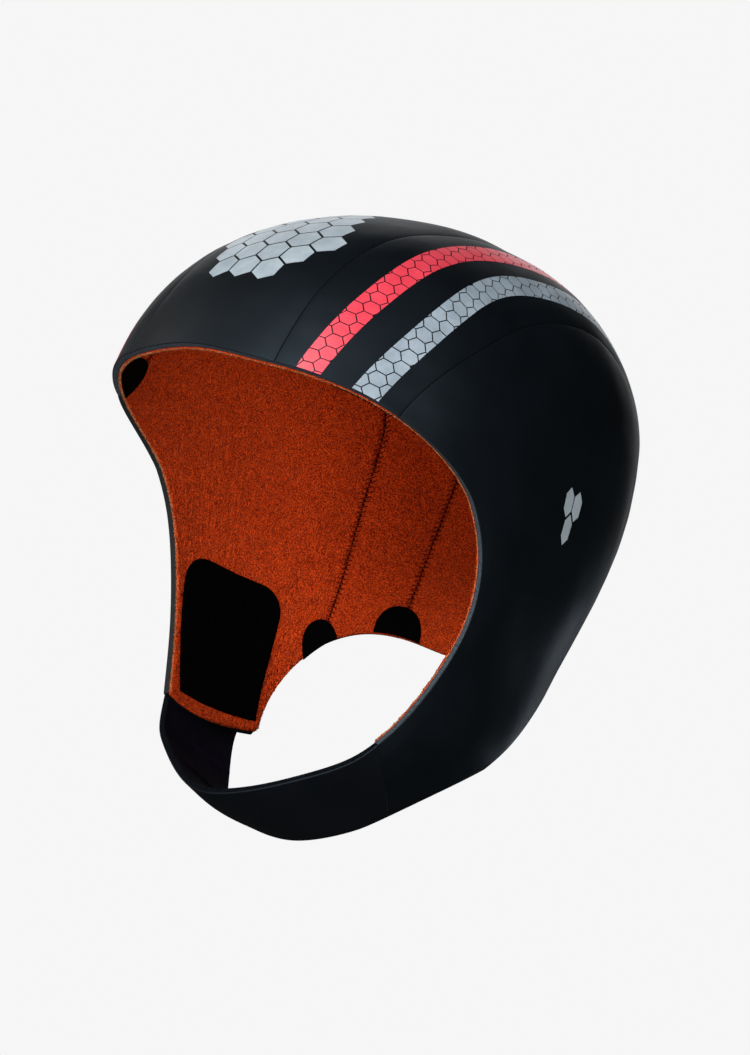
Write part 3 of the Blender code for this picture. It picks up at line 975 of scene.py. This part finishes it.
def strap_sections(count):
    share = np.linspace(0, 1, count)
    left = Patch(*side_edges(1))
    rows = []
    for across in (10 / 12, 1.0):
        rows.append(form(left.ways(share, np.array([across])))[:, 0])
    scale = np.array([HALF_WIDTH, FACE_REACH, CHIN_DROP])
    for values in STRAP_SECTIONS:
        front = np.array(values[:3]) * scale
        rear = front + np.array(values[3:]) * STRAP_WIDTH
        row = mix(front, rear, share[:, None])
        out = unit(np.cross(rear - front, np.array([1.0, 0.0, 0.0])))
        out = out * np.sign(out @ row[len(row) // 2])
        arch = (1 - (2 * share - 1) ** 2)[:, None] * STRAP_CROWN * STRAP_WIDTH
        rows.append(row + arch * out)
    flap = Flap()
    lift = PAD_WALL + 2 * LAYER_GAP + STRAP_WALL
    for rise, setback in FLAP_SECTIONS:
        lengths = (setback + share) * STRAP_WIDTH
        rows.append(flap.across(rise * STRAP_WIDTH, lengths, lift))
    return np.array(rows)


STRAP_MIDDLE = np.array([0.0, 0.0, -0.06])


def grid_normals(points):
    """Normals of a grid of points, turned away from the strap's middle."""
    along = np.gradient(points, axis=0)
    across = np.gradient(points, axis=1)
    out = unit(np.cross(along, across))
    return out * np.sign((out * (points - STRAP_MIDDLE)).sum())


STRAP_STEP = 0.0009
STRAP_ROUND = 0.0004
STRAP_START_ROUND = 0.00012
STRAP_TUCK = 0.00006
STRAP_UNEVEN = (0.00018, 0.03, 8)  # height, scale and seed
STRAP_FADE = 0.004


def build_strap():
    count = 41
    rows = strap_sections(count)
    run = lengths_along(rows[:, count // 2])
    length = run[-1] - run[1]
    share = graded(length, STRAP_STEP)
    at = mix(run[1] - STRAP_TUCK, run[-1], share)
    columns = np.linspace(0, 1, count)
    edges = graded(STRAP_WIDTH, STRAP_STEP)
    fine = np.zeros((len(at), len(edges), 3))
    for axis in range(3):
        base = np.stack([spline(run, rows[:, k, axis], at) for k in range(count)], 1)
        for i in range(len(at)):
            fine[i, :, axis] = np.interp(edges, columns, base[i])
    out = grid_normals(fine)
    distances = edge_distances(fine)
    drop = sum(rounding(distance, STRAP_ROUND) for distance in distances[1:])
    drop = drop + rounding(distances[0], STRAP_START_ROUND)
    height, scale, seed = STRAP_UNEVEN
    edge_fade = np.clip(np.minimum(distances[2], distances[3]) / STRAP_FADE, 0, 1)
    uneven = height * soft_noise(fine, scale, seed) * edge_fade
    outer = fine + (uneven - drop)[..., None] * out
    crease = strap_creases(share[:, None], edges, length)
    inner = fine - (STRAP_WALL - crease - drop * 0.5)[..., None] * out
    thing = slab("chin_strap_body", outer, inner, [STRAP_SKIN, STRAP_EDGE, STRAP_BACK], 3,
                 (1, 1, 1, 1), 2)
    settle(thing, ["chin_strap"])


# Creases: start and end, each by share of the strap's length and width.
CREASES = (
    ((0.690, 0.40), (0.622, 1.00)),
    ((0.517, 0.12), (0.519, 0.80)),
)
CREASE = (0.0010, 0.0006)  # depth and reach
FOLD = (0.0006, 0.0010, 0.0017)  # height, reach and distance beside the crease


def strap_creases(along, across, length):
    """Creases pressed into the strap's inner face where it turns up to the flap."""
    size = np.array([length, STRAP_WIDTH])
    place = np.stack(np.broadcast_arrays(along, across[None, :]), -1) * size
    total = np.zeros(place.shape[:2])
    for start, end in CREASES:
        start = start * size
        line = end * size - start
        reach = np.linalg.norm(line)
        share = ((place - start) @ line) / reach ** 2
        off = ((place - start) @ np.array([line[1], -line[0]])) / reach
        off = off + 0.0006 * np.sin(share * 9)
        fade = np.clip(6 * share * (1 - share), 0, 1)
        total = total + fade * (CREASE[0] * np.exp(-(off / CREASE[1]) ** 2)
                                - FOLD[0] * np.exp(-((off - FOLD[2]) / FOLD[1]) ** 2))
    return total


def lens(outer, inner, radius):
    """Draws two grids together round their border, for a soft rounded edge."""
    distances = edge_distances(outer)
    nearest = np.minimum.reduce(distances)
    inside = np.clip(radius - nearest, 0, radius)
    share = (1 - np.sqrt(np.maximum(1 - (inside / radius) ** 2, 0)))[..., None] * 0.46
    return mix(outer, inner, share), mix(inner, outer, share)


def build_pad():
    flap = Flap()
    margin = SEAM_GAP + LAYER_GAP + PAD_WALL
    rows = []
    for rise in np.linspace(margin, margin + PAD_LENGTH, 31):
        setback = np.interp(rise / STRAP_WIDTH, *zip(*FLAP_SECTIONS)) * STRAP_WIDTH
        last = min(setback + STRAP_WIDTH, flap.width(rise)) - margin
        rows.append(flap.across(rise, np.linspace(setback + margin, last, 31), LAYER_GAP))
    low = np.array(rows)
    out = grid_normals(low)
    top, foot = lens(low + (PAD_WALL + 0.0002) * out, low - 0.0001 * out, SOFT_EDGE)
    settle(slab("strap_pad_loops", top, foot, [LOOPS_AND_GAP_SHADE], 2), ["strap_pad"])


PAD_LENGTH = 0.0300
SOFT_EDGE = 0.0006
PATCH_EDGE = 0.0007
PATCH_RISE = 0.0009
TAB_RISE = 0.0006
LINING_FACE = SHELL_WALL + LINING_WALL + 0.00033
LINING_SINK = LINING_FACE - 0.0004
TAB_BEYOND = {"face": 0.0006, "neck": 0.0013}


def rounded(share, corner, length):
    left = np.maximum(corner - (1 - share) * length, 0)
    return corner - np.sqrt(np.maximum(corner ** 2 - left ** 2, 0))


def build_patch():
    """The black patch on the right flap, with a bound edge."""
    flap = Flap()
    spot = flap.spot(*PATCH_SPOT)
    out = normal(spot)
    rearward = unit(np.cross(out, np.array([0.0, 0.0, 1.0])))
    up = np.cross(rearward, out)
    low_front, low_rear, top_front, top_rear = np.array(PATCH_CORNERS) * PATCH_LENGTH
    shares = np.sin(np.linspace(0, math.pi / 2, 61))
    rows = []
    for share in shares:
        front = mix(low_front, top_front, share)
        rear = mix(low_rear, top_rear, share)
        draw = rounded(share, PATCH_CORNER, PATCH_LENGTH) * unit(rear - front)
        across = np.linspace(front + draw, rear - draw, 51)
        rows.append(steer(spot, across @ np.stack([rearward, up])))
    ways = np.array(rows)
    points, outward = form(ways), normal(ways)
    ripple = np.random.default_rng(5).normal(0, 0.00004, points.shape[:2])[..., None]
    face = points - (LINING_FACE + PATCH_RISE + ripple) * outward
    back, face = lens(points - LINING_SINK * outward, face, PATCH_EDGE)
    settle(slab("flap_patch_loops", back, face, [LOOPS_AND_GAP_SHADE], 2), ["flap_patch"])


def build_tab(name, node, rim, turn, side, shape):
    """A half-round felt tab over the end of a seam."""
    width, depth, centre, lean, power = shape
    on_face = rim is face_rim
    base = rim(np.array([turn - 1.0, turn, turn + 1.0]))
    tangent = (form(base[2]) - form(base[0])) / 2
    per_degree = np.linalg.norm(tangent)
    inward = unit(np.cross(normal(base)[1], tangent))
    ahead, _ = ring_frame(FACE_AXIS if on_face else NECK_AXIS, 1)
    inward = -inward * np.sign(inward @ ahead)
    beyond = TAB_BEYOND["face" if on_face else "neck"]
    rows = []
    for share in np.sin(np.linspace(0, 0.985, 29) * math.pi / 2):
        half = width / 2 * (1 - share ** power) ** (1 / power)
        middle = -side * (centre + lean * share)
        turns = turn + (middle + np.linspace(-half, half, 41)) / per_degree
        rows.append(steer(rim(turns), mix(-beyond, depth, share) * inward))
    ways = np.array(rows)
    points, outward = form(ways), normal(ways)
    back, face = lens(points - LINING_SINK * outward,
                      points - (LINING_FACE + TAB_RISE) * outward, SOFT_EDGE)
    settle(slab(name, back, face, [FELT], 2), [node])


def build_tabs():
    for side, word in ((1, "left"), (-1, "right")):
        build_tab("felt_temple_" + word, "temple_tab_" + word, face_rim,
                  side * TEMPLE_TAB_ROLL, side, TABS["temple"])
        for stem, column in (("nape_inner", 1), ("nape_outer", 2)):
            pitch = seam_span(column * side)[1]
            end = seam(column * side, np.array([pitch]))[0]
            azimuth = float(turn_and_excess(end, *NECK)[0])
            node = "nape_tab_%s_%s" % (stem[5:], word)
            build_tab("felt_%s_%s" % (stem, word), node, neck_rim, azimuth, side, TABS[stem])


# Build

# Each column of cells with its lowest and highest row.
CROWN_COLUMNS = ((-2, -1, 1), (-1, -2, 1), (0, -2, 2), (1, -2, 1), (2, -1, 1), (3, -1, 0),
                 (4, 0, 0))
CROWN_CELLS = [(column, row) for column, low, high in CROWN_COLUMNS
               for row in range(low, high + 1)]
SIDE_CELLS = ((0, 0), (1, 0), (1, -1))

PATCHES = list(layout())
SURFACES = {}
for number, (stem, patch, seams) in enumerate(PATCHES):
    build_shell(stem, patch, seams)
    build_pile(stem, patch, seams, 40 + number)
    SURFACES[stem] = Surface(patch, seams)
build_fringe(PATCHES)
build_stitches()
for word in ("left", "right"):
    stripe = SURFACES["stripe_" + word]
    build_band("band_red_" + word, stripe, RED_MIDDLE, RED_SLIP[word], RED, RED_START)
    build_band("band_grey_" + word, stripe, GREY_MIDDLE, 0.0, GREY, GREY_START)
build_cluster("crown_honeycomb", SURFACES["crown"], (0.20, 0.5), CROWN_CELLS, 7.6 * MM, 0.0)
for word in ("left", "right"):
    build_cluster("side_honeycomb_" + word, SURFACES["side_" + word], (0.475, 0.43),
                  SIDE_CELLS, 4.6 * MM, 20.0)
build_strap()
build_pad()
build_patch()
build_tabs()


# Stage, light and camera

AZIMUTH, ELEVATION, ROLL = 45.3, 6.8, -1.55
DISTANCE = 1.400
PIXELS_PER_MM = 2.837
PRINCIPAL = (357.8, 476.1)
IMAGE = (750, 1055)
CENTRE = Vector((0.0, 0.0, -CENTRE_DROP))
PAPER = (0.922, 0.922, 0.922, 1.0)
AMBIENT = 0.03
AMBIENT_COLOUR = (0.93, 0.96, 1.0, 1.0)
FLOOR_REACH, FLOOR_HEIGHT = 60.0, -0.42
# Name; place to the camera's right, up and towards it; size; watts; colour.
LIGHTS = (
    ("key", (-0.7, 0.95, 0.9), 0.7, 13.5, (1.0, 0.985, 0.97)),
    ("fill_right", (0.35, -0.24, 1.4), 0.4, 9.8, (1.0, 0.96, 0.9)),
    ("fill_left", (-0.75, -0.15, 1.1), 0.6, 6.0, (1.0, 0.97, 0.94)),
    ("fill_top", (-0.1, 0.42, 1.3), 0.4, 4.2, (1.0, 0.97, 0.93)),
    ("back", (0.2, 0.45, -1.7), 1.6, 11.0, (0.97, 0.98, 1.0)),
    ("low_right", (1.0, -0.70, -0.85), 0.5, 3.4, (0.84, 0.91, 1.0)),
    ("warm_left", (-1.2, 0.7, -0.5), 0.6, 3.0, (1.0, 0.9, 0.82)),
)


def camera_axes():
    a, e, r = map(math.radians, (AZIMUTH, ELEVATION, ROLL))
    back = Vector((math.sin(a) * math.cos(e), -math.cos(a) * math.cos(e), math.sin(e)))
    right = Vector((math.cos(a), math.sin(a), 0.0))
    up = back.cross(right)
    turned = math.cos(r) * right + math.sin(r) * up
    raised = -math.sin(r) * right + math.cos(r) * up
    return turned, raised, back


def build_camera():
    right, up, back = camera_axes()
    data = bpy.data.cameras.new("camera")
    thing = bpy.data.objects.new("camera", data)
    bpy.context.scene.collection.objects.link(thing)
    matrix = Matrix((right, up, back)).transposed().to_4x4()
    matrix.translation = CENTRE + DISTANCE * back
    thing.matrix_world = matrix
    data.sensor_fit = "VERTICAL"
    data.sensor_height = 36.0
    focal = PIXELS_PER_MM * 1000 * DISTANCE
    data.lens = focal * data.sensor_height / IMAGE[1]
    data.shift_x = (IMAGE[0] / 2 - PRINCIPAL[0]) / IMAGE[1]
    data.shift_y = -(IMAGE[1] / 2 - PRINCIPAL[1]) / IMAGE[1]
    data.clip_end = 20.0
    bpy.context.scene.camera = thing
    return right, up, back


def build_lights(right, up, back):
    for name, (x, y, z), size, watts, colour in LIGHTS:
        data = bpy.data.lights.new(name, "AREA")
        data.size, data.energy, data.color = size, watts, colour
        thing = bpy.data.objects.new(name, data)
        bpy.context.scene.collection.objects.link(thing)
        away = x * right + y * up + z * back
        thing.location = CENTRE + away
        thing.visible_camera = False
        thing.rotation_mode = "QUATERNION"
        thing.rotation_quaternion = away.to_track_quat("Z", "Y")


def build_floor():
    """A plain pale floor, evenly bright, that throws no light of its own on the cap."""
    mesh = bpy.data.meshes.new("floor")
    corners = [(x * FLOOR_REACH, y * FLOOR_REACH, FLOOR_HEIGHT)
               for x, y in ((-1, -1), (1, -1), (1, 1), (-1, 1))]
    mesh.from_pydata(corners, [], [(0, 1, 2, 3)])
    made, _, _ = nodes_of("floor_pale", Base_Color=(0.0, 0.0, 0.0, 1.0), Roughness=1.0,
                          Specular_IOR_Level=0.0, Emission_Color=PAPER,
                          Emission_Strength=1.0)
    mesh.materials.append(made)
    thing = bpy.data.objects.new("floor", mesh)
    bpy.context.scene.collection.objects.link(thing)
    thing.visible_diffuse = False
    thing.visible_glossy = False


def build_world():
    """Dim soft light all round; the camera sees the same paper as the floor."""
    world = bpy.data.worlds.new("studio")
    bpy.context.scene.world = world
    world.use_nodes = True
    tree = world.node_tree
    dim = tree.nodes["Background"]
    dim.inputs["Color"].default_value = AMBIENT_COLOUR
    dim.inputs["Strength"].default_value = AMBIENT
    paper = add(tree, "ShaderNodeBackground", Color=PAPER)
    path = add(tree, "ShaderNodeLightPath")
    blend = add(tree, "ShaderNodeMixShader")
    tree.links.new(path.outputs["Is Camera Ray"], blend.inputs[0])
    tree.links.new(dim.outputs[0], blend.inputs[1])
    tree.links.new(paper.outputs[0], blend.inputs[2])
    tree.links.new(blend.outputs[0], tree.nodes["World Output"].inputs["Surface"])


axes = build_camera()
build_floor()
build_world()
build_lights(*axes)
bpy.context.scene.view_settings.view_transform = "Standard"
